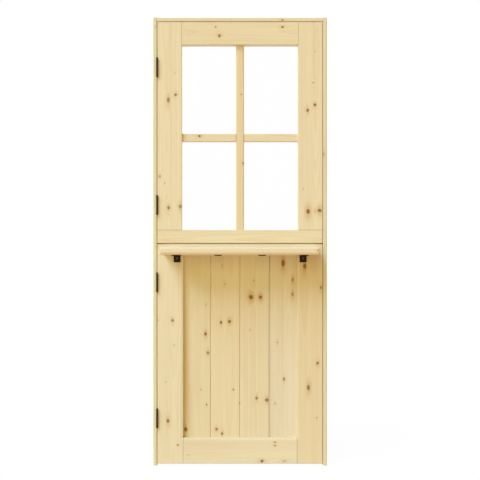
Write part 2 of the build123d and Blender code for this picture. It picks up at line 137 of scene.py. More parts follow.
def noise(tree, vector, w, detail=1.0, roughness=0.5):
    node = tree.nodes.new("ShaderNodeTexNoise")
    node.noise_dimensions = "4D"
    node.inputs["Scale"].default_value = 1.0
    node.inputs["Detail"].default_value = detail
    node.inputs["Roughness"].default_value = roughness
    put(tree, node.inputs["Vector"], vector)
    put(tree, node.inputs["W"], w)
    return node.outputs


def mixColour(tree, factor, first, second, blend="MIX"):
    # The Mix node keeps its two colour inputs and its colour output at these places
    firstIn, secondIn, colourOut = 6, 7, 2
    node = tree.nodes.new("ShaderNodeMix")
    node.data_type = "RGBA"
    node.blend_type = blend
    put(tree, node.inputs["Factor"], factor)
    put(tree, node.inputs[firstIn], first)
    put(tree, node.inputs[secondIn], second)
    return node.outputs[colourOut]


def placeGroup(tree, group, **values):
    node = tree.nodes.new("ShaderNodeGroup")
    node.node_tree = group
    for label, value in values.items():
        put(tree, node.inputs[label], value)
    return node.outputs


# Pine: growth rings round a pith, fibres, resin streaks, and knots that the grain flows round

pine = {
    "ringWidth": 3.4 * mm,
    "wander": 34 * mm,
    "ripple": 2.2 * mm,
    "early": srgb(236, 222, 182),
    "late": srgb(213, 186, 133),
    "heart": srgb(227, 198, 152),
    # Halo colour round knots, also used as painted warm shade in the wide patches with no core
    "haloAndShade": srgb(204, 157, 88),
    "knot": srgb(134, 97, 36),
    "knotRim": srgb(93, 60, 18),
    # Painted shade for faces that look up, against the cool overhead lamp
    "topShade": srgb(251, 243, 226),
    "bumpStrength": 0.35,
    "bumpDepth": 0.25 * mm,
    "specular": 0.15,
}

# Knots, in shares of the branch's radius
knotShape = {
    "wobbleSeed": 4100.0,
    "wobble": 0.7,
    "coreEnd": (0.75, 1.1),
    "ringTurns": 13.0,
    "ringDepth": 0.16,
    "rimRise": (0.55, 0.95),
    "rimFall": (0.95, 1.3),
    "haloAcross": 1.9,
    "haloAlong": 3.4,
    "liftFall": 0.8,
}


def makeKnotGroup():
    # One branch: an oval in the plane of the face, softened by noise, added to what came before it.
    # Lift pushes the growth rings outwards as a bell curve, so that they flow round the oval.
    tree, given, out = newGroup(
        "pineKnot",
        [
            ("Vector", "Vector", (0, 0, 0)), ("Centre", "Vector", (0, 0, 0)), ("Radius", "Float", 0.006),
            ("Stretch", "Float", 1.2), ("Strength", "Float", 1.0), ("Glow", "Float", 0.5),
            ("Core", "Float", 0.0), ("Rim", "Float", 0.0), ("Halo", "Float", 0.0), ("Lift", "Float", 0.0),
        ],
        [("Core", "Float"), ("Rim", "Float"), ("Halo", "Float"), ("Lift", "Float")],
    )
    away = vectorCalc(tree, "SUBTRACT", given["Vector"], given["Centre"])
    parts = tree.nodes.new("ShaderNodeSeparateXYZ")
    put(tree, parts.inputs[0], away)
    across = calc(tree, "DIVIDE", parts.outputs["X"], given["Radius"])
    longRadius = calc(tree, "MULTIPLY", given["Radius"], given["Stretch"])
    along = calc(tree, "DIVIDE", parts.outputs["Z"], longRadius)
    flat = tree.nodes.new("ShaderNodeCombineXYZ")
    put(tree, flat.inputs["X"], across)
    put(tree, flat.inputs["Z"], along)
    seed = calc(tree, "MULTIPLY", given["Radius"], knotShape["wobbleSeed"])
    wobble = noise(tree, flat.outputs[0], seed, detail=2.0)["Fac"]
    wobble = calc(tree, "MULTIPLY_ADD", wobble, knotShape["wobble"], -knotShape["wobble"] / 2)
    distance = vectorCalc(tree, "LENGTH", flat.outputs[0])
    distance = calc(tree, "ADD", distance, wobble)
    inside = smoothStep(tree, distance, *knotShape["coreEnd"], 1.0, 0.0)
    rings = calc(tree, "SINE", calc(tree, "MULTIPLY", distance, knotShape["ringTurns"]))
    rings = calc(tree, "MULTIPLY_ADD", rings, knotShape["ringDepth"], 1 - knotShape["ringDepth"])
    core = calc(tree, "MULTIPLY", calc(tree, "MULTIPLY", inside, rings), given["Strength"])
    rise = smoothStep(tree, distance, *knotShape["rimRise"])
    fall = smoothStep(tree, distance, *knotShape["rimFall"], 1.0, 0.0)
    rim = calc(tree, "MULTIPLY", calc(tree, "MULTIPLY", rise, fall), given["Strength"])
    haloAcross = calc(tree, "DIVIDE", across, knotShape["haloAcross"])
    haloAlong = calc(tree, "DIVIDE", along, knotShape["haloAlong"])
    alongSquared = calc(tree, "MULTIPLY", haloAlong, haloAlong)
    haloReach = calc(tree, "MULTIPLY_ADD", haloAcross, haloAcross, alongSquared)
    haloAndShade = calc(tree, "EXPONENT", calc(tree, "MULTIPLY", haloReach, -1.0))
    haloAndShade = calc(tree, "MULTIPLY", haloAndShade, given["Glow"])
    bell = calc(tree, "EXPONENT", calc(tree, "MULTIPLY", haloReach, -knotShape["liftFall"]))
    lift = calc(tree, "MULTIPLY", calc(tree, "MULTIPLY", bell, given["Radius"]), given["Strength"])
    put(tree, out["Core"], calc(tree, "MAXIMUM", core, given["Core"]))
    put(tree, out["Rim"], calc(tree, "MAXIMUM", rim, given["Rim"]))
    put(tree, out["Halo"], calc(tree, "MAXIMUM", haloAndShade, given["Halo"]))
    put(tree, out["Lift"], calc(tree, "ADD", lift, given["Lift"]))
    return tree


# Grain: scales are waves for each metre, across the board twice and then along it
grainShape = {
    "driftScale": (0.0, 0.0, 1.15),
    "rippleScale": (22.0, 22.0, 2.4),
    "fibreScale": (950.0, 950.0, 16.0),
    "streakScale": (75.0, 75.0, 1.1),
    "cloudScale": (11.0, 11.0, 1.6),
    "unevenScale": 0.31,
    "unevenTurns": 2.2,
    "lateRise": (0.30, 0.90),
    "lateEnd": (0.93, 1.0),
    "yearSpread": 0.75,
    "lateHeight": 0.6,
    "fibreHeight": 0.8,
}


def makeGrainGroup():
    # Distance from a pith that wanders along the board, cut into rings that darken slowly and end sharply
    tree, given, out = newGroup(
        "pineGrain",
        [
            ("Vector", "Vector", (0, 0, 0)), ("Seed", "Float", 0.0), ("Pith", "Vector", (0, 0.06, 0)),
            ("Ring Width", "Float", pine["ringWidth"]), ("Lift", "Float", 0.0),
        ],
        [("Late", "Float"), ("Fibre", "Float"), ("Streak", "Float"), ("Cloud", "Float"), ("Height", "Float")],
    )

    def pattern(name, detail=1.0):
        stretched = vectorCalc(tree, "MULTIPLY", given["Vector"], grainShape[name])
        return noise(tree, stretched, given["Seed"], detail=detail)

    drift = pattern("driftScale")["Color"]
    drift = scaled(tree, vectorCalc(tree, "SUBTRACT", drift, (0.5, 0.5, 0.5)), pine["wander"])
    fromPith = vectorCalc(tree, "ADD", vectorCalc(tree, "SUBTRACT", given["Vector"], given["Pith"]), drift)
    fromPith = vectorCalc(tree, "MULTIPLY", fromPith, (1.0, 1.0, 0.0))
    ripple = pattern("rippleScale", detail=2.0)["Fac"]
    radius = calc(tree, "ADD", vectorCalc(tree, "LENGTH", fromPith), given["Lift"])
    radius = calc(tree, "ADD", radius, calc(tree, "MULTIPLY", ripple, pine["ripple"]))
    turns = calc(tree, "DIVIDE", radius, given["Ring Width"])
    uneven = tree.nodes.new("ShaderNodeCombineXYZ")
    put(tree, uneven.inputs["X"], calc(tree, "MULTIPLY", turns, grainShape["unevenScale"]))
    growth = noise(tree, uneven.outputs[0], given["Seed"])["Fac"]
    turns = calc(tree, "ADD", turns, calc(tree, "MULTIPLY", growth, grainShape["unevenTurns"]))
    saw = calc(tree, "FRACT", turns)
    year = tree.nodes.new("ShaderNodeTexWhiteNoise")
    year.noise_dimensions = "1D"
    put(tree, year.inputs["W"], calc(tree, "ADD", calc(tree, "FLOOR", turns), given["Seed"]))
    rise = smoothStep(tree, saw, *grainShape["lateRise"])
    fall = smoothStep(tree, saw, *grainShape["lateEnd"], 1.0, 0.0)
    spread = grainShape["yearSpread"]
    strength = calc(tree, "MULTIPLY_ADD", year.outputs["Value"], spread, 1 - spread)
    late = calc(tree, "MULTIPLY", calc(tree, "MULTIPLY", rise, fall), strength)
    fibre = pattern("fibreScale", detail=2.0)["Fac"]
    put(tree, out["Late"], late)
    put(tree, out["Fibre"], fibre)
    put(tree, out["Streak"], pattern("streakScale", detail=3.0)["Fac"])
    put(tree, out["Cloud"], pattern("cloudScale", detail=2.0)["Fac"])
    height = calc(tree, "MULTIPLY", fibre, grainShape["fibreHeight"])
    height = calc(tree, "MULTIPLY_ADD", late, grainShape["lateHeight"], height)
    put(tree, out["Height"], height)
    return tree


# Colour: how much of each pattern shows, and the range in which a mask rises
colourMix = {
    "late": 0.27,
    "heartRise": (0.5, 0.78),
    "heart": 0.30,
    "fibre": 0.12,
    "streak": 0.12,
    "streakBase": 0.935,
    "upwardRise": (0.35, 0.95),
    "rim": 0.6,
    "joint": 0.65,
    "roughness": 0.46,
    "fibreRoughness": 0.16,
    "knotPolish": 0.12,
}


def makeColourGroup():
    # Early wood to late wood, shifted by fibres and streaks, reddened by heartwood, then the knots over it.
    # Faces that look up are painted warmer and darker: painted shade that offsets the cool overhead lamp on
    # them.
    tree, given, out = newGroup(
        "pineColour",
        [
            ("Late", "Float", 0.0), ("Fibre", "Float", 0.5), ("Streak", "Float", 0.5),
            ("Cloud", "Float", 0.5), ("Core", "Float", 0.0), ("Rim", "Float", 0.0), ("Halo", "Float", 0.0),
            ("Joint", "Float", 0.0), ("Tone", "Color", (1, 1, 1, 1)), ("Upward", "Float", 0.0),
        ],
        [("Color", "Color"), ("Roughness", "Float")],
    )
    late = calc(tree, "MULTIPLY", given["Late"], colourMix["late"])
    colour = mixColour(tree, late, pine["early"], pine["late"])
    heart = smoothStep(tree, given["Cloud"], *colourMix["heartRise"], 0.0, colourMix["heart"])
    colour = mixColour(tree, heart, colour, pine["heart"])
    fibre = calc(tree, "MULTIPLY_ADD", given["Fibre"], colourMix["fibre"], 1 - colourMix["fibre"] / 2)
    streak = calc(tree, "MULTIPLY_ADD", given["Streak"], colourMix["streak"], colourMix["streakBase"])
    shift = calc(tree, "MULTIPLY", fibre, streak)
    colour = mixColour(tree, 1.0, colour, given["Tone"], "MULTIPLY")
    # Painted shade on faces that look up, against the cool overhead lamp
    topShadeMask = smoothStep(tree, given["Upward"], *colourMix["upwardRise"])
    colour = mixColour(tree, topShadeMask, colour, pine["topShade"], "MULTIPLY")
    colour = scaled(tree, colour, shift)
    colour = mixColour(tree, given["Halo"], colour, pine["haloAndShade"])
    colour = mixColour(tree, given["Core"], colour, pine["knot"])
    rim = calc(tree, "MULTIPLY", given["Rim"], colourMix["rim"])
    colour = mixColour(tree, rim, colour, pine["knotRim"])
    line = calc(tree, "MULTIPLY", given["Joint"], calc(tree, "SUBTRACT", 1.0, topShadeMask))
    colour = scaled(tree, colour, calc(tree, "MULTIPLY_ADD", line, -colourMix["joint"], 1.0))
    put(tree, out["Color"], colour)
    rough = calc(tree, "MULTIPLY_ADD", given["Fibre"], colourMix["fibreRoughness"], colourMix["roughness"])
    rough = calc(tree, "MULTIPLY_ADD", given["Core"], -colourMix["knotPolish"], rough)
    put(tree, out["Roughness"], rough)
    return tree


def makeJointGroup():
    # A fine dark line where two pieces meet, used for dark joints and for painted shade in gaps and grooves:
    # it fades out to each side of one place on an axis, and runs from Start to End along the other axis
    tree, given, out = newGroup(
        "jointLine",
        [
            ("Across", "Float", 0.0), ("Along", "Float", 0.0), ("Place", "Float", 0.0),
            ("Start", "Float", -1.0), ("End", "Float", 1.0), ("Width", "Float", 1.0 * mm),
            ("Line", "Float", 0.0),
        ],
        [("Line", "Float")],
    )
    away = calc(tree, "ABSOLUTE", calc(tree, "SUBTRACT", given["Across"], given["Place"]))
    line = smoothStep(tree, away, 0.0, given["Width"], 1.0, 0.0)
    line = calc(tree, "MULTIPLY", line, calc(tree, "GREATER_THAN", given["Along"], given["Start"]))
    line = calc(tree, "MULTIPLY", line, calc(tree, "LESS_THAN", given["Along"], given["End"]))
    put(tree, out["Line"], calc(tree, "MAXIMUM", line, given["Line"]))
    return tree


knotGroup = makeKnotGroup()
grainGroup = makeGrainGroup()
colourGroup = makeColourGroup()
jointGroup = makeJointGroup()
print("stage: pine node groups made")

# Boards. Knots are read off the photo: pixel x and y, radius in mm, stretch along the grain,
# strength of the core and strength of the halo round it. A core of 0 leaves only a warm patch.
# The wide patches just under the shelf and the strip along the first board's left edge are painted warm shade.
# Pith is in mm from the board's middle: across its face and behind its front.

boards = {
    "hinge_jamb": {
        "grain": "up", "seed": 1.7, "pith": (14, 60), "tone": srgb(247, 254, 248),
        "knots": [
            (155.9, 27.0, 2.8, 1.3, 0.35, 0.15),
        ],
    },
    "latch_jamb": {
        "grain": "up", "seed": 4.1, "pith": (-20, 55), "tone": srgb(244, 248, 244),
        "knots": [
            (323.8, 154.2, 4.2, 1.2, 0.3, 0.25),
        ],
    },
    "frame_head": {
        "grain": "across", "seed": 7.3, "pith": (-8, 70), "tone": srgb(243, 251, 254),
        "knots": [
            (282.5, 19.8, 3.6, 1.2, 0.8, 0.3),
        ],
    },
    "threshold": {
        "grain": "across", "seed": 9.2, "pith": (-30, 40), "tone": srgb(250, 250, 248), "knots": [],
    },
    # Toned darker so that the split between the leaves reads dark: painted shade
    "draught_strip": {
        "grain": "across", "seed": 8.4, "pith": (20, 40), "tone": srgb(188, 172, 146), "knots": [],
    },
    "upper_hinge_stile": {
        "grain": "up", "seed": 12.4, "pith": (-16, 85), "tone": srgb(254, 254, 254),
        "knots": [
            (175.6, 94.7, 5.4, 0.8, 1.0, 0.4), (168.3, 99.9, 5.8, 1.6, 0.75, 0.55),
            (175.0, 72.8, 2.6, 1.2, 0.3, 0.1), (159.8, 176.4, 4.2, 1.2, 0.6, 0.3),
            (164.8, 183.0, 2.6, 1.2, 0.45, 0.15), (168.6, 207.7, 5.4, 1.2, 0.9, 0.4),
            (180.3, 206.5, 5.6, 1.3, 0.7, 0.5), (171.0, 66.0, 2.5, 60.0, 0.0, 0.18),
        ],
    },
    "upper_latch_stile": {
        "grain": "up", "seed": 15.8, "pith": (22, 75), "tone": srgb(253, 252, 252),
        "knots": [
            (313.5, 82.7, 3.4, 1.2, 0.6, 0.2), (314.8, 104.8, 5.7, 1.1, 1.0, 0.45),
            (307.6, 110.3, 5.7, 1.1, 1.0, 0.45), (315.1, 51.4, 2.6, 1.3, 0.3, 0.1),
            (303.2, 188.8, 2.6, 1.2, 0.45, 0.15), (308.1, 211.5, 7.5, 1.3, 1.0, 0.7),
            (319.6, 210.5, 7.6, 0.9, 1.0, 0.6), (314.0, 37.0, 2.5, 30.0, 0.0, 0.2),
            (315.6, 211.0, 7, 0.5, 0.0, 0.5),
        ],
    },
    "upper_top_rail": {
        "grain": "across", "seed": 18.6, "pith": (10, 90), "tone": srgb(252, 252, 250),
        "knots": [
            (215.7, 26.8, 4.2, 0.7, 0.75, 0.2), (219.4, 35.7, 6.2, 0.75, 1.0, 0.4),
            (282.5, 27.0, 4.4, 1.1, 1.0, 0.35),
        ],
    },
    "upper_meeting_rail": {
        "grain": "across", "seed": 21.1, "pith": (-12, 70), "tone": srgb(254, 253, 252), "knots": [],
    },
    "vertical_glazing_bar": {
        "grain": "up", "seed": 24.9, "pith": (30, 60), "tone": srgb(249, 245, 237),
        "knots": [
            (241.1, 94.4, 3, 1.3, 0.5, 0.15), (243.0, 163.1, 3.4, 1.2, 0.8, 0.3),
        ],
    },
    "left_glazing_bar": {
        "grain": "across", "seed": 27.2, "pith": (-26, 60), "tone": srgb(252, 251, 254),
        "knots": [
            (199.5, 136.0, 4.8, 1.0, 1.0, 0.4),
        ],
    },
    "right_glazing_bar": {
        "grain": "across", "seed": 30.6, "pith": (18, 50), "tone": srgb(252, 251, 254), "knots": [],
    },
    "top_glazing_bead": {
        "grain": "across", "seed": 33.3, "pith": (20, 40), "tone": srgb(250, 249, 246), "knots": [],
    },
    "bottom_glazing_bead": {
        "grain": "across", "seed": 36.5, "pith": (-20, 40), "tone": srgb(252, 251, 248), "knots": [],
    },
    "left_glazing_bead": {
        "grain": "up", "seed": 39.7, "pith": (20, 50), "tone": srgb(250, 249, 246), "knots": [],
    },
    "right_glazing_bead": {
        "grain": "up", "seed": 42.8, "pith": (-20, 50), "tone": srgb(253, 252, 249), "knots": [],
    },
    "lower_hinge_stile": {
        "grain": "up", "seed": 45.4, "pith": (12, 80), "tone": srgb(253, 255, 256),
        "knots": [
            (172.6, 320.4, 5.2, 1.2, 0.85, 0.4), (157.7, 320.2, 3.2, 1.2, 0.35, 0.15),
            (174.0, 345.1, 3, 1.2, 0.35, 0.1), (166.0, 382.0, 3.2, 1.2, 0.25, 0.1),
            (167.9, 420.9, 5.9, 1.3, 0.9, 0.5), (177.9, 445.0, 4, 1.0, 0.9, 0.1),
        ],
    },
    "lower_latch_stile": {
        "grain": "up", "seed": 48.9, "pith": (-24, 85), "tone": srgb(249, 246, 241),
        "knots": [
            (304.7, 266.1, 6, 1.8, 1.0, 0.9), (321.0, 287.6, 4.6, 1.5, 0.7, 0.4),
            (317.6, 363.1, 5.1, 1.2, 0.9, 0.45), (308.4, 387.6, 5.8, 1.8, 0.95, 0.6),
            # The wide patch with no core is painted warm shade from the shelf
            (316.9, 417.7, 2.4, 1.2, 0.8, 0.1), (313.0, 263.0, 15, 1.1, 0.0, 0.32),
        ],
    },
    "lower_meeting_rail": {
        "grain": "across", "seed": 51.3, "pith": (10, 70), "tone": srgb(254, 254, 252), "knots": [],
    },
    "lower_bottom_rail": {
        "grain": "across", "seed": 54.6, "pith": (-18, 90), "tone": srgb(250, 253, 255),
        "knots": [
            (275.0, 442.2, 3.1, 1.2, 0.9, 0.25), (275.0, 445.4, 3.1, 1.2, 0.9, 0.25),
            (262.0, 461.1, 5.6, 1.0, 1.0, 0.5), (284.4, 461.0, 5, 1.2, 0.3, 0.3),
            (188.4, 454.9, 3.4, 1.2, 0.3, 0.1),
        ],
    },
    "panel_board_1": {
        "grain": "up", "seed": 57.5, "pith": (-20, 70), "tone": srgb(248, 249, 244),
        "knots": [
            (206.0, 304.5, 3, 1.2, 0.35, 0.2), (205.6, 333.9, 5.4, 1.2, 1.0, 0.6),
            (207.9, 352.8, 4.9, 1.2, 0.85, 0.45), (201.1, 389.3, 2.6, 1.2, 0.5, 0.1),
            (206.5, 404.6, 3.4, 1.1, 1.0, 0.2), (185.8, 429.3, 6.5, 1.3, 1.0, 0.7),
            # The strip at the board's left edge is painted warm shade from the stile, and the wide patch is
            # painted warm shade from the shelf
            (187.0, 390.0, 7, 16.0, 0.0, 0.4), (194.0, 264.0, 24, 1.0, 0.0, 0.16),
        ],
    },
    "panel_board_2": {
        "grain": "up", "seed": 60.2, "pith": (15, 80), "tone": srgb(252, 251, 248),
        "knots": [
            (222.1, 265.7, 3, 2.0, 0.3, 0.25), (225.0, 284.0, 3, 1.6, 0.35, 0.2),
            (221.0, 322.4, 4.6, 1.5, 1.0, 0.35), (229.5, 321.5, 6.2, 1.0, 0.95, 0.6),
            (233.4, 389.5, 4, 0.9, 0.8, 0.2), (239.8, 403.2, 3.4, 1.2, 0.6, 0.2),
            (216.5, 429.1, 5.6, 0.8, 0.9, 0.5), (222.1, 433.6, 4.7, 1.3, 0.85, 0.4),
        ],
    },
    "panel_board_3": {
        "grain": "up", "seed": 63.7, "pith": (-12, 75), "tone": srgb(250, 250, 249),
        "knots": [
            (254.0, 280.7, 3.3, 1.5, 0.4, 0.1), (251.0, 297.1, 8.4, 0.95, 1.0, 0.95),
            (260.5, 297.2, 6.4, 0.95, 1.0, 0.95), (250.0, 330.1, 3, 1.8, 0.25, 0.15),
            (256.7, 398.1, 5.4, 1.1, 0.85, 0.4), (266.9, 400.0, 6.9, 0.95, 0.95, 0.5),
        ],
    },
    "panel_board_4": {
        "grain": "up", "seed": 66.1, "pith": (24, 70), "tone": srgb(250, 252, 259),
        "knots": [
            (283.1, 263.0, 6.8, 2.0, 1.0, 0.9), (292.7, 279.7, 4.6, 1.7, 0.65, 0.6),
            (292.5, 294.2, 4.6, 1.7, 0.7, 0.6), (277.3, 342.4, 3.2, 1.2, 0.45, 0.25),
            (283.9, 379.1, 4.7, 1.4, 0.8, 0.4), (275.2, 403.3, 3, 1.2, 0.5, 0.25),
            # The wide patch with no core is painted warm shade from the shelf
            (282.5, 330.0, 2.5, 55.0, 0.0, 0.2), (284.0, 262.0, 24, 0.8, 0.0, 0.26),
        ],
    },
    "shelf": {
        "grain": "across", "seed": 69.4, "pith": (26, 95), "tone": srgb(253, 252, 255),
        "knots": [
            (318.4, 250.2, 4.5, 0.8, 0.55, 0.4), (319.7, 253.4, 3, 1.0, 0.5, 0.3),
        ],
    },
}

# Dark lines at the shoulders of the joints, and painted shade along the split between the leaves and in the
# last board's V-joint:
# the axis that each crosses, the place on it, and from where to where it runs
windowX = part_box("upper_latch_stile")[0].x
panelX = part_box("lower_latch_stile")[0].x
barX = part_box("vertical_glazing_bar")[1].x
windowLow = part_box("upper_meeting_rail")[1].z
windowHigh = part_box("upper_top_rail")[0].z
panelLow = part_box("lower_bottom_rail")[1].z
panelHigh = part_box("lower_meeting_rail")[0].z
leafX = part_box("upper_latch_stile")[1].x
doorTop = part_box("upper_top_rail")[1].z
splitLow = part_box("lower_meeting_rail")[1].z
lastBoardX = photoPoint(*photo["lastJoint"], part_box("panel_board_4")[0].y).x
jointWidth = 1.5 * mm
jointAndShadeLines = {
    "upper_top_rail": [("X", -windowX, 0, doorTop), ("X", windowX, 0, doorTop)],
    "upper_hinge_stile": [("X", -windowX, windowHigh, doorTop), ("Z", windowLow, -leafX, 0)],
    "upper_latch_stile": [("X", windowX, windowHigh, doorTop), ("Z", windowLow, 0, leafX)],
    "upper_meeting_rail": [("Z", windowLow, -leafX, -windowX), ("Z", windowLow, windowX, leafX)],
    "lower_bottom_rail": [("X", -panelX, 0, panelLow), ("X", panelX, 0, panelLow)],
    "lower_hinge_stile": [("X", -panelX, 0, panelLow), ("Z", panelHigh, -leafX, 0)],
    "lower_latch_stile": [("X", panelX, 0, panelLow), ("Z", panelHigh, 0, leafX)],
    # Painted shade: the dark split between the leaves, drawn along this rail's top edge
    "lower_meeting_rail": [("Z", splitLow, -leafX, leafX)],
    # Painted shade: the V-joint between the last two boards, drawn darker
    "panel_board_4": [("X", lastBoardX, 0, splitLow)],
    "left_glazing_bar": [("X", -barX, 0, doorTop)],
    "right_glazing_bar": [("X", barX, 0, doorTop)],
}


def pineMaterial(node, board):
    material = bpy.data.materials.new("pine_" + node)
    material.use_nodes = True
    tree = material.node_tree
    shader = tree.nodes["Principled BSDF"]
    low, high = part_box(node)
    turn = Euler((0, math.radians(90 if board["grain"] == "across" else 0), 0)).to_matrix()
    centre = (low + high) / 2
    coordinates = tree.nodes.new("ShaderNodeTexCoord")
    mapping = tree.nodes.new("ShaderNodeMapping")
    mapping.inputs["Location"].default_value = -(turn @ centre)
    mapping.inputs["Rotation"].default_value = turn.to_euler()
    put(tree, mapping.inputs["Vector"], coordinates.outputs["Object"])
    placeVector = mapping.outputs["Vector"]
    knots = {"Core": 0.0, "Rim": 0.0, "Halo": 0.0, "Lift": 0.0}
    for pixelX, pixelY, radius, stretch, strength, glow in board["knots"]:
        middle = turn @ (photoPoint(pixelX, pixelY, low.y) - centre)
        made = placeGroup(
            tree, knotGroup, Vector=placeVector, Centre=middle, Radius=radius * mm, Stretch=stretch,
            Strength=strength, Glow=glow, **knots,
        )
        knots = {label: made[label] for label in knots}
    pithX, pithY = board["pith"]
    pith = (pithX * mm, (low.y - centre.y) + pithY * mm, 0)
    grain = placeGroup(
        tree, grainGroup, Vector=placeVector, Seed=board["seed"], Pith=pith, Lift=knots["Lift"],
    )
    line = 0.0
    if node in jointAndShadeLines:
        parts = tree.nodes.new("ShaderNodeSeparateXYZ")
        put(tree, parts.inputs[0], coordinates.outputs["Object"])
        for axis, place, start, end in jointAndShadeLines[node]:
            across, along = parts.outputs[axis], parts.outputs["Z" if axis == "X" else "X"]
            line = placeGroup(
                tree, jointGroup, Across=across, Along=along, Place=place, Start=start, End=end,
                Width=jointWidth, Line=line,
            )["Line"]
    facing = tree.nodes.new("ShaderNodeSeparateXYZ")
    put(tree, facing.inputs[0], coordinates.outputs["Normal"])
    look = placeGroup(
        tree, colourGroup, Tone=board["tone"], Upward=facing.outputs["Z"], Joint=line,
        Core=knots["Core"], Rim=knots["Rim"], Halo=knots["Halo"],
        Late=grain["Late"], Fibre=grain["Fibre"], Streak=grain["Streak"], Cloud=grain["Cloud"],
    )
    bump = tree.nodes.new("ShaderNodeBump")
    bump.inputs["Strength"].default_value = pine["bumpStrength"]
    bump.inputs["Distance"].default_value = pine["bumpDepth"]
    put(tree, bump.inputs["Height"], grain["Height"])
    put(tree, shader.inputs["Base Color"], look["Color"])
    put(tree, shader.inputs["Roughness"], look["Roughness"])
    put(tree, shader.inputs["Normal"], bump.outputs["Normal"])
    shader.inputs["Specular IOR Level"].default_value = pine["specular"]
    return material


def dress(node, material):
    nodes[node].data.materials.clear()
    nodes[node].data.materials.append(material)


for node, board in boards.items():
    dress(node, pineMaterial(node, board))
print("stage: pine on", len(boards), "boards")

# Ironwork

blackCoat = {
    "dark": srgb(42, 27, 10),
    "bright": srgb(62, 44, 24),
    "metallic": 0.0,
    "gloss": 0.36,
    "mottleScale": 120.0,
    "peelScale": 1400.0,
}
screwCoat = {
    "dark": srgb(84, 77, 68),
    "bright": srgb(128, 120, 108),
    "metallic": 0.9,
    "gloss": 0.28,
    "mottleScale": 400.0,
    "peelScale": 2600.0,
}
metalFinish = {
    "mottleSeed": 2.0,
    "mottleDetail": 4.0,
    "mottleRoughness": 0.6,
    "peelSeed": 5.0,
    "brightRise": (0.35, 0.75),
    "glossSpread": 0.25,
    "bumpStrength": 0.2,
    "bumpDepth": 0.1 * mm,
    "specular": 0.12,
}


def makeFinishGroup():
    # Orange peel of a sprayed coat, and a mottle that shifts colour and gloss over some millimetres
    tree, given, out = newGroup(
        "metalFinish",
        [
            ("Vector", "Vector", (0, 0, 0)), ("Dark", "Color", (0, 0, 0, 1)),
            ("Bright", "Color", (1, 1, 1, 1)), ("Mottle Scale", "Float", 90.0), ("Peel Scale", "Float", 900.0),
            ("Gloss", "Float", 0.4),
        ],
        [("Color", "Color"), ("Roughness", "Float"), ("Height", "Float")],
    )
    coarse = scaled(tree, given["Vector"], given["Mottle Scale"])
    fine = scaled(tree, given["Vector"], given["Peel Scale"])
    mottle = noise(
        tree, coarse, metalFinish["mottleSeed"], metalFinish["mottleDetail"], metalFinish["mottleRoughness"],
    )["Fac"]
    spread = smoothStep(tree, mottle, *metalFinish["brightRise"])
    rough = calc(tree, "MULTIPLY_ADD", mottle, metalFinish["glossSpread"], given["Gloss"])
    put(tree, out["Color"], mixColour(tree, spread, given["Dark"], given["Bright"]))
    put(tree, out["Roughness"], rough)
    put(tree, out["Height"], noise(tree, fine, metalFinish["peelSeed"])["Fac"])
    return tree


finishGroup = makeFinishGroup()


def metalMaterial(name, coat):
    material = bpy.data.materials.new(name)
    material.use_nodes = True
    tree = material.node_tree
    shader = tree.nodes["Principled BSDF"]
    coordinates = tree.nodes.new("ShaderNodeTexCoord").outputs["Object"]
    finish = placeGroup(
        tree, finishGroup, Vector=coordinates, Dark=coat["dark"], Bright=coat["bright"], Gloss=coat["gloss"],
        **{"Mottle Scale": coat["mottleScale"], "Peel Scale": coat["peelScale"]},
    )
    bump = tree.nodes.new("ShaderNodeBump")
    bump.inputs["Strength"].default_value = metalFinish["bumpStrength"]
    bump.inputs["Distance"].default_value = metalFinish["bumpDepth"]
    put(tree, bump.inputs["Height"], finish["Height"])
    put(tree, shader.inputs["Base Color"], finish["Color"])
    put(tree, shader.inputs["Roughness"], finish["Roughness"])
    put(tree, shader.inputs["Normal"], bump.outputs["Normal"])
    shader.inputs["Metallic"].default_value = coat["metallic"]
    shader.inputs["Specular IOR Level"].default_value = metalFinish["specular"]
    return material


blackSteel = metalMaterial("black_coated_steel", blackCoat)
screwSteel = metalMaterial("screw_steel", screwCoat)
for node in nodes:
    if node.endswith("screws"):
        dress(node, screwSteel)
    elif node not in boards and node != "glass_pane":
        dress(node, blackSteel)
print("stage: ironwork dressed")

# Screws and hinge pins: turned pieces in place of the plain solids

sharpAngle = math.radians(38)


def turnedPiece(name, radius, height, places):
    # A surface of revolution: radius and height are grids of profile step and angle.
    # The first and last steps are the poles, and each place gives an origin and a turn.
    steps, angles = radius.shape
    angle = np.linspace(0, 2 * np.pi, angles, endpoint=False)
    rings = np.stack([radius * np.cos(angle), radius * np.sin(angle), height], axis=-1)
    points = np.concatenate([rings[0, :1], rings[1:-1].reshape(-1, 3), rings[-1, :1]])
    here = np.arange(angles)
    following = (here + 1) % angles
    first = 1 + np.arange(steps - 3)[:, None] * angles
    below = first + angles
    quads = np.stack([first + here, below + here, below + following, first + following], axis=-1)
    last = 1 + (steps - 3) * angles
    end = len(points) - 1
    topFan = np.stack([np.zeros(angles, int), 1 + here, 1 + following], axis=-1)
    endFan = np.stack([np.full(angles, end), last + following, last + here], axis=-1)
    verts = np.concatenate([points @ np.array(turn).T + np.array(origin) for origin, turn in places])
    shift = np.arange(len(places))[:, None, None] * len(points)
    faces = (quads.reshape(1, -1, 4) + shift).reshape(-1, 4).tolist()
    for fan in (topFan, endFan):
        faces += (fan[None] + shift).reshape(-1, 3).tolist()
    mesh = bpy.data.meshes.new(name)
    mesh.from_pydata(verts.tolist(), [], faces)
    mesh.polygons.foreach_set("use_smooth", np.ones(len(mesh.polygons), bool))
    mesh.set_sharp_from_angle(angle=sharpAngle)
    piece = bpy.data.objects.new(name, mesh)
    bpy.context.scene.collection.objects.link(piece)
    return piece


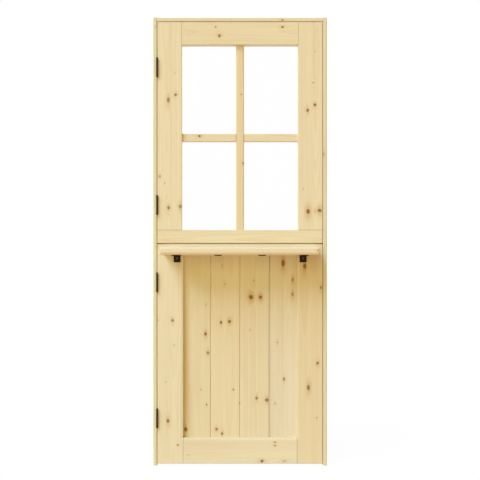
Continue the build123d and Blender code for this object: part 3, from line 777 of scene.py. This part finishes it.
def solidsOf(node):
    # The separate solids in a node: labels spread over shared corners until nothing changes.
    # Corners are shared where they round to the same micrometre.
    mesh = nodes[node].data
    corners = np.empty(len(mesh.vertices) * 3)
    mesh.vertices.foreach_get("co", corners)
    points, same = np.unique(corners.reshape(-1, 3).round(6), axis=0, return_inverse=True)
    faces = np.empty(len(mesh.polygons) * 3, int)
    mesh.polygons.foreach_get("vertices", faces)
    faces = same.ravel()[faces].reshape(-1, 3)
    label = np.arange(len(points))
    while True:
        lowest = np.repeat(label[faces].min(axis=1), 3)
        spread = label.copy()
        np.minimum.at(spread, faces.ravel(), lowest)
        if (spread == label).all():
            break
        label = spread
    return [points[label == one] for one in np.unique(label)]


screwHead = {
    "cover": 1.04,
    "dome": 0.45 * mm,
    "sunk": -0.15 * mm,
    "rim": 0.2 * mm,
    "slotDepth": 1.3 * mm,
    "slotReach": 0.56,
    "slotHalfWidth": 0.13,
    "slotSlope": 0.1,
    "threadShare": 0.62,
    "threadEnd": 0.93,
    "threadPitch": 1.9 * mm,
    "threadDepth": 0.45 * mm,
    "threadSteps": 5,
    "coreShare": 0.8,
    "topSteps": 13,
    "angles": 36,
    "sameEnd": 0.01 * mm,
    "turnSeed": 7,
}
screwTurn = np.random.default_rng(screwHead["turnSeed"])


def screwPlace(points):
    # A screw's length runs along its longest side, and its head is at the end that spreads wider
    low, high = points.min(axis=0), points.max(axis=0)
    axis = int(np.argmax(high - low))
    ends = [points[abs(points[:, axis] - side[axis]) < screwHead["sameEnd"]] for side in (low, high)]
    width = [np.ptp(np.delete(end, axis, axis=1), axis=0).max() for end in ends]
    atHigh = width[1] > width[0]
    middle = (low + high) / 2
    middle[axis] = (high if atHigh else low)[axis]
    facing = Vector([0, 0, 0])
    facing[axis] = 1 if atHigh else -1
    return Vector(middle), facing, max(width) / 2, (high - low)[axis], min(width) / 2


def screwProfile(headRadius, shankRadius, length, dome):
    # Head: a shallow dome with a cross cut into it.
    # Below: a cone down to a shank, a thread wound on it as a cosine of height and angle, and a point
    angle = np.linspace(0, 2 * np.pi, screwHead["angles"], endpoint=False)[None]
    top = np.linspace(0, 1, screwHead["topSteps"])[:, None] * headRadius
    coneDepth = headRadius - shankRadius
    threadStart = -length * (1 - screwHead["threadShare"])
    threadEnd = -length * screwHead["threadEnd"]
    turns = int(length * screwHead["threadShare"] / screwHead["threadPitch"])
    thread = np.linspace(threadStart, threadEnd, turns * screwHead["threadSteps"])[:, None]
    tops = dome * (1 - (top / headRadius) ** 2)
    across, along = abs(top * np.cos(angle)) / headRadius, abs(top * np.sin(angle)) / headRadius
    slope = screwHead["slotSlope"]
    slotEdge = screwHead["slotHalfWidth"] + slope / 2
    armWidth = np.clip((slotEdge - np.minimum(across, along)) / slope, 0, 1)
    armLength = np.clip((screwHead["slotReach"] - np.maximum(across, along)) / slope, 0, 1)
    groove = screwHead["slotDepth"] * armWidth * armLength
    wave = 0.5 + 0.5 * np.cos(2 * np.pi * thread / screwHead["threadPitch"] + angle)
    ones = np.ones_like(angle)
    radius = [top * ones, headRadius * ones, shankRadius * ones, shankRadius * ones]
    height = [tops - groove, -screwHead["rim"] * ones, -coneDepth * ones, threadStart * ones]
    radius += [shankRadius * screwHead["coreShare"] + screwHead["threadDepth"] * wave, 0 * ones]
    height += [thread * ones, -length * ones]
    return np.concatenate(radius), np.concatenate(height)


def makeScrews(node):
    found = [screwPlace(points) for points in solidsOf(node)]
    inner = bodyOf[node] != "frame" or "hardware" in node
    places = []
    for middle, facing, _, _, _ in found:
        spin = Euler((0, 0, screwTurn.uniform(0, math.pi))).to_matrix()
        places.append((middle, facing.to_track_quat("Z", "Y").to_matrix() @ spin))
    _, _, headRadius, length, shankRadius = found[0]
    dome = screwHead["dome"] if inner else screwHead["sunk"]
    radius, height = screwProfile(headRadius * screwHead["cover"], shankRadius, length, dome)
    piece = turnedPiece(node + "_turned", radius, height, places)
    piece.data.materials.append(screwSteel)
    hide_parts(node)
    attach(piece, bodyOf[node])


pin = {
    "rounding": 0.35,
    "stemShare": 0.647,
    "headHeight": 2.5 * mm,
    "endBevel": 0.8 * mm,
    "endShare": 0.7,
    "curveSteps": 7,
    "angles": 32,
}


def makePin(node):
    # A stem with rounded ends: the head is a button whose edge is a quarter round
    low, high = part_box(node)
    middle = (low + high) / 2
    headRadius = (high.x - low.x) / 2
    stemRadius = headRadius * pin["stemShare"]
    edge = headRadius * pin["rounding"]
    curve = np.linspace(0, np.pi / 2, pin["curveSteps"])
    headBottom = high.z - pin["headHeight"]
    stemRadii = [headRadius, stemRadius, stemRadius, stemRadius * pin["endShare"], 0]
    stemHeights = [headBottom, headBottom, low.z + pin["endBevel"], low.z, low.z]
    radius = np.concatenate([[0], headRadius - edge + edge * np.sin(curve), stemRadii])
    height = np.concatenate([[high.z], high.z - edge + edge * np.cos(curve), stemHeights])
    grid = np.ones((1, pin["angles"]))
    place = ((middle.x, middle.y, 0), np.eye(3))
    piece = turnedPiece(node + "_turned", radius[:, None] * grid, height[:, None] * grid, [place])
    piece.data.materials.append(blackSteel)
    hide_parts(node)
    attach(piece, bodyOf[node])


for node in nodes:
    if node.endswith("screws"):
        makeScrews(node)
    elif node.endswith("_pin"):
        makePin(node)
print("stage: screws and hinge pins turned")

# Glass

pane = {
    "edgeGrind": 1.0 * mm,
    "bedding": 0.3 * mm,
    "smearScale": (9.0, 9.0, 3.0),
    "smearSeed": 1.0,
    "smearRise": (0.45, 0.8),
    "smearRoughness": 0.03,
    "body": srgb(253, 254, 253),
    "smeared": srgb(254, 255, 254),
    "refraction": 1.45,
}


def glassMaterial():
    # Clear glass with a faint green body and wiped smears that dull the gloss a little.
    # Lamps and scattered light pass straight through, so that the wood behind it is lit.
    material = bpy.data.materials.new("clear_glass")
    material.use_nodes = True
    tree = material.node_tree
    shader = tree.nodes["Principled BSDF"]
    coordinates = tree.nodes.new("ShaderNodeTexCoord").outputs["Object"]
    stretched = vectorCalc(tree, "MULTIPLY", coordinates, pane["smearScale"])
    smear = noise(tree, stretched, pane["smearSeed"], detail=3.0)["Fac"]
    dull = smoothStep(tree, smear, *pane["smearRise"], 0.0, pane["smearRoughness"])
    put(tree, shader.inputs["Roughness"], dull)
    put(tree, shader.inputs["Base Color"], mixColour(tree, smear, pane["body"], pane["smeared"]))
    shader.inputs["Transmission Weight"].default_value = 1.0
    shader.inputs["IOR"].default_value = pane["refraction"]
    path = tree.nodes.new("ShaderNodeLightPath")
    clear = tree.nodes.new("ShaderNodeBsdfTransparent")
    mix = tree.nodes.new("ShaderNodeMixShader")
    passing = calc(tree, "MAXIMUM", path.outputs["Is Shadow Ray"], path.outputs["Is Diffuse Ray"])
    put(tree, mix.inputs[0], passing)
    put(tree, mix.inputs[1], shader.outputs[0])
    put(tree, mix.inputs[2], clear.outputs[0])
    put(tree, tree.nodes["Material Output"].inputs["Surface"], mix.outputs[0])
    return material


def makePane(node):
    # A profile across the pane's edge, from front to back, carried round its four corners.
    # The pane lies between its beddings, and its edges are ground off at 45 degrees.
    low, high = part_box(node)
    middle, half = (low + high) / 2, (high - low) / 2
    grind, bedding = pane["edgeGrind"], pane["bedding"]
    inset = np.array([grind, 0.0, 0.0, grind])
    front, back = low.y + bedding, high.y - bedding
    depth = np.array([front, front + grind, back - grind, back])
    side = np.array([[-1, -1], [1, -1], [1, 1], [-1, 1]])
    x = middle.x + side[:, 0] * (half.x - inset[:, None])
    z = middle.z + side[:, 1] * (half.z - inset[:, None])
    points = np.stack([x, np.broadcast_to(depth[:, None], x.shape), z], axis=-1).reshape(-1, 3)
    here = np.arange(4)
    ring = np.arange(len(inset) - 1)[:, None] * 4
    following = (here + 1) % 4
    behind = ring + 4
    walls = np.stack([ring + following, ring + here, behind + here, behind + following], axis=-1)
    faces = np.concatenate([walls.reshape(-1, 4), [here, here[::-1] + 4 * (len(inset) - 1)]])
    mesh = bpy.data.meshes.new(node + "_ground")
    mesh.from_pydata(points.tolist(), [], faces.tolist())
    piece = bpy.data.objects.new(node + "_ground", mesh)
    bpy.context.scene.collection.objects.link(piece)
    mesh.materials.append(glassMaterial())
    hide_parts(node)
    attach(piece, bodyOf[node])


makePane("glass_pane")
print("stage: glass set")

# Floor, light and camera

studio = {
    "floorSize": 60.0,
    "floorPoints": 3,
    "floorBefore": srgb(226, 190, 143),
    "floorBehind": srgb(240, 238, 232),
    "floorGlow": 0.97,
    "floorBlend": 0.2,
    "floorRoughness": 0.9,
    "skyLight": 0.41,
    "skyColour": (1.0, 0.825, 0.475, 1.0),
}
# Each lamp: where it shines from, how wide it looks in degrees, its strength and its colour
lamps = {
    "low": (Vector((-0.45, -1.0, 0.3)), 40, 0.68, (1.0, 0.97, 0.48)),
    "high": (Vector((-1.35, -1.0, 2.05)), 34, 4.0, (0.475, 0.63, 1.0)),
    "back": (Vector((0.8, 1.0, 0.25)), 40, 1.57, (0.83, 0.88, 1.0)),
}


def seenAsWhite(tree):
    # 1 for what the camera, a reflection or a pane of glass looks at, 0 for light that falls on things
    path = tree.nodes.new("ShaderNodeLightPath")
    seen = calc(tree, "ADD", path.outputs["Is Camera Ray"], path.outputs["Is Glossy Ray"])
    return calc(tree, "ADD", seen, path.outputs["Is Transmission Ray"], clamp=True)


def makeFloor():
    # A flat grid of two parameters at z = 0.
    # It looks white, but throws back warm light before the door and pale light behind it
    half, count = studio["floorSize"] / 2, studio["floorPoints"]
    steps = np.linspace(-half, half, count)
    u, v = np.meshgrid(steps, steps)
    points = np.stack([u.ravel(), v.ravel(), np.zeros(u.size)], axis=1)
    first = np.arange(u.size).reshape(count, count)[:-1, :-1].ravel()
    faces = first[:, None] + np.array([0, 1, count + 1, count])
    mesh = bpy.data.meshes.new("floor")
    mesh.from_pydata(points.tolist(), [], faces.tolist())
    floor = bpy.data.objects.new("floor", mesh)
    bpy.context.scene.collection.objects.link(floor)
    material = bpy.data.materials.new("pale_floor")
    material.use_nodes = True
    tree = material.node_tree
    shader = tree.nodes["Principled BSDF"]
    seen = seenAsWhite(tree)
    place = tree.nodes.new("ShaderNodeSeparateXYZ")
    put(tree, place.inputs[0], tree.nodes.new("ShaderNodeTexCoord").outputs["Object"])
    behind = smoothStep(tree, place.outputs["Y"], -studio["floorBlend"], studio["floorBlend"])
    bounce = mixColour(tree, behind, studio["floorBefore"], studio["floorBehind"])
    put(tree, shader.inputs["Base Color"], mixColour(tree, seen, bounce, (1, 1, 1, 1)))
    shader.inputs["Roughness"].default_value = studio["floorRoughness"]
    glow = tree.nodes.new("ShaderNodeEmission")
    mix = tree.nodes.new("ShaderNodeMixShader")
    put(tree, mix.inputs[0], calc(tree, "MULTIPLY", seen, studio["floorGlow"]))
    put(tree, mix.inputs[1], shader.outputs[0])
    put(tree, mix.inputs[2], glow.outputs[0])
    put(tree, tree.nodes["Material Output"].inputs["Surface"], mix.outputs[0])
    mesh.materials.append(material)


def makeSky():
    world = bpy.data.worlds.new("white_studio")
    world.use_nodes = True
    tree = world.node_tree
    light = tree.nodes["Background"]
    light.inputs["Color"].default_value = studio["skyColour"]
    light.inputs["Strength"].default_value = studio["skyLight"]
    white = tree.nodes.new("ShaderNodeBackground")
    white.inputs["Color"].default_value = (1, 1, 1, 1)
    mix = tree.nodes.new("ShaderNodeMixShader")
    put(tree, mix.inputs[0], seenAsWhite(tree))
    put(tree, mix.inputs[1], light.outputs[0])
    put(tree, mix.inputs[2], white.outputs[0])
    put(tree, tree.nodes["World Output"].inputs["Surface"], mix.outputs[0])
    bpy.context.scene.world = world


def makeLamp(name):
    # A wide soft disc, far enough away to fall evenly from top to bottom
    away, spread, strength, colour = lamps[name]
    lamp = bpy.data.lights.new(name, "SUN")
    lamp.angle = math.radians(spread)
    lamp.energy = strength
    lamp.color = colour
    holder = bpy.data.objects.new(name, lamp)
    holder.location = Vector((0, faceY, eyeZ)) + away * photo["distance"]
    holder.rotation_euler = (-away).to_track_quat("-Z", "Y").to_euler()
    # From behind, the panes would mirror it as a disc over the bars
    holder.visible_glossy = away.y < 0
    bpy.context.scene.collection.objects.link(holder)


def makeCamera():
    camera = bpy.data.cameras.new("camera")
    camera.sensor_width = photo["sensor"]
    half = photo["size"] / 2 * photo["scale"]
    camera.lens = camera.sensor_width / 2 * photo["distance"] / half
    eye = bpy.data.objects.new("camera", camera)
    eye.location = ((photo["size"] / 2 - photo["centreX"]) * photo["scale"], eyeY, eyeZ)
    eye.rotation_euler = (math.radians(90), 0, 0)
    bpy.context.scene.collection.objects.link(eye)
    bpy.context.scene.camera = eye


makeFloor()
makeSky()
for name in lamps:
    makeLamp(name)
makeCamera()
bpy.context.scene.view_settings.view_transform = "Standard"
print("stage: floor, light and camera set")
